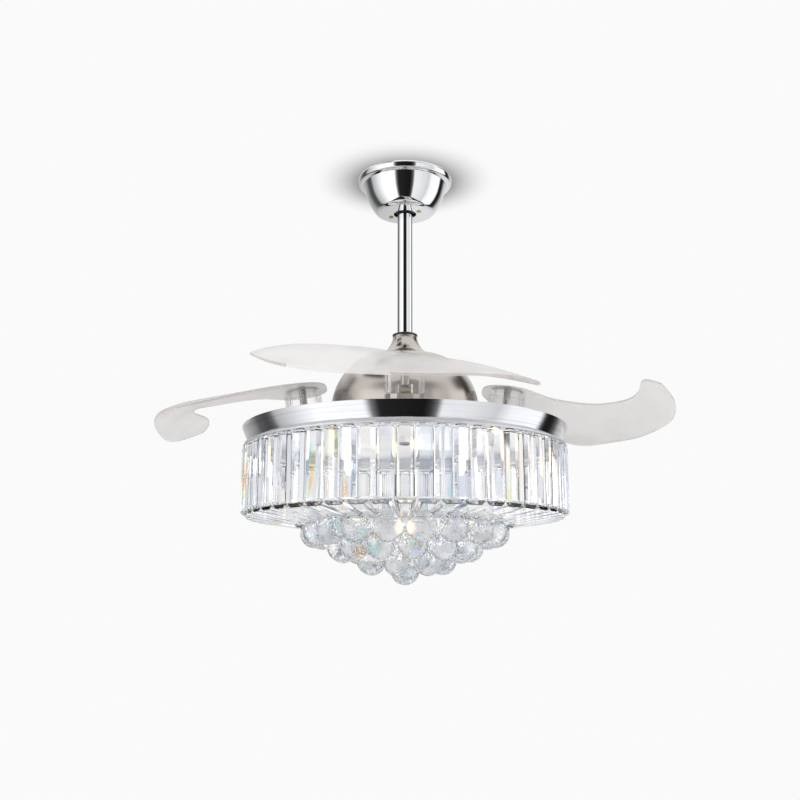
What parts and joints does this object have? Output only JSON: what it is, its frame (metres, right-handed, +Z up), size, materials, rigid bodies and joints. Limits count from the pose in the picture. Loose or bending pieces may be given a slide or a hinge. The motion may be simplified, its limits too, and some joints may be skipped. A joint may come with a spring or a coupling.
{
  "type": "crystal chandelier ceiling fan",
  "caption": "Ceiling fan on a rod with clear sickle blades that fold in, a domed motor, and a round crystal lamp with a prism drum and a cascade of balls.",
  "frame": {"origin": "middle of the hanger plate's top face, which lies on the ceiling", "axes": "+Z up into the ceiling, +X to the right and +Y away from the viewer of the picture"},
  "size_m": [0.7062, 0.7062, 0.5906],
  "materials": {
    "chrome": "mirror plated",
    "band_chrome": "plated, with fine lines brushed round it",
    "nickel": "warm satin nickel plate",
    "steel": "plain satin",
    "black": "satin black",
    "copper": "varnished copper windings on laminated steel",
    "brass": "satin",
    "white": "matt white",
    "clear_blade": "polished clear acrylic",
    "crystal": "cut and polished clear glass",
    "lamp": "frosted warm-white lamp glass"
  },
  "bodies": {
    "ceiling": {"hanger_plate": "steel", "canopy": "chrome", "canopy_screw_1": "brass", "canopy_screw_2": "brass", "remote_receiver": "black"},
    "hanging": {"hanger_ball": "black", "ball_pin": "steel", "downrod": "chrome", "rod_collar": "black", "neck_bell": "nickel", "neck_screw": "black", "rod_coupler": "steel", "motor_dome": "nickel", "motor_shaft": "steel", "motor_stator": "copper", "upper_bearing": "steel", "lower_bearing": "steel", "chrome_band": "band_chrome", "lamp_pan": "steel", "light_board": "white", "shaft_nut": "brass", "light_driver": "white", "bulb_1": "lamp", "bulb_2": "lamp", "bulb_3": "lamp", "bulb_4": "lamp", "crystal_carrier": "chrome", "prism_bank_1": "crystal", "prism_bank_2": "crystal", "prism_bank_3": "crystal", "prism_bank_4": "crystal", "lower_frame": "chrome", "lower_crystals": "crystal", "ball_tray": "chrome", "ball_tier_outer": "crystal", "ball_tier_middle": "crystal", "ball_tier_inner": "crystal", "ball_tier_centre": "crystal"},
    "rotor": {"rotor_spider": "nickel", "magnet_ring": "black", "pivot_pin_1": "steel", "pivot_pin_2": "steel", "pivot_pin_3": "steel", "pivot_pin_4": "steel", "return_spring_1": "brass", "return_spring_2": "brass", "return_spring_3": "brass", "return_spring_4": "brass"},
    "blade_right": {"blade_1": "clear_blade", "hub_boss_1": "clear_blade", "hub_screws_1": "black"},
    "blade_back": {"blade_2": "clear_blade", "hub_boss_2": "clear_blade", "hub_screws_2": "black"},
    "blade_left": {"blade_3": "clear_blade", "hub_boss_3": "clear_blade", "hub_screws_3": "black"},
    "blade_front": {"blade_4": "clear_blade", "hub_boss_4": "clear_blade", "hub_screws_4": "black"}
  },
  "joints": [
    {"name": "hang_swing", "type": "hinge", "parent": "ceiling", "child": "hanging", "pos_m": [0, 0, -0.022], "axis": [1, 0, 0], "range_deg": [-3, 3]},
    {"name": "rotor_spin", "type": "hinge", "parent": "hanging", "child": "rotor", "pos_m": [0, 0, -0.3226], "axis": [0, 0, 1], "continuous": true},
    {"name": "blade_right_fold", "type": "hinge", "parent": "rotor", "child": "blade_right", "pos_m": [0.145, 0, -0.3226], "axis": [-0.1478, 0, -0.989], "range_deg": [0, 100]},
    {"name": "blade_back_fold", "type": "hinge", "parent": "rotor", "child": "blade_back", "pos_m": [0, 0.145, -0.3226], "axis": [0, -0.1478, -0.989], "range_deg": [0, 100]},
    {"name": "blade_left_fold", "type": "hinge", "parent": "rotor", "child": "blade_left", "pos_m": [-0.145, 0, -0.3226], "axis": [0.1478, 0, -0.989], "range_deg": [0, 100]},
    {"name": "blade_front_fold", "type": "hinge", "parent": "rotor", "child": "blade_front", "pos_m": [0, -0.145, -0.3226], "axis": [0, 0.1478, -0.989], "range_deg": [0, 100]}
  ],
  "couplings": [
    {"joint": "blade_back_fold", "follows": "blade_right_fold", "ratio": 1},
    {"joint": "blade_left_fold", "follows": "blade_right_fold", "ratio": 1},
    {"joint": "blade_front_fold", "follows": "blade_right_fold", "ratio": 1}
  ]
}
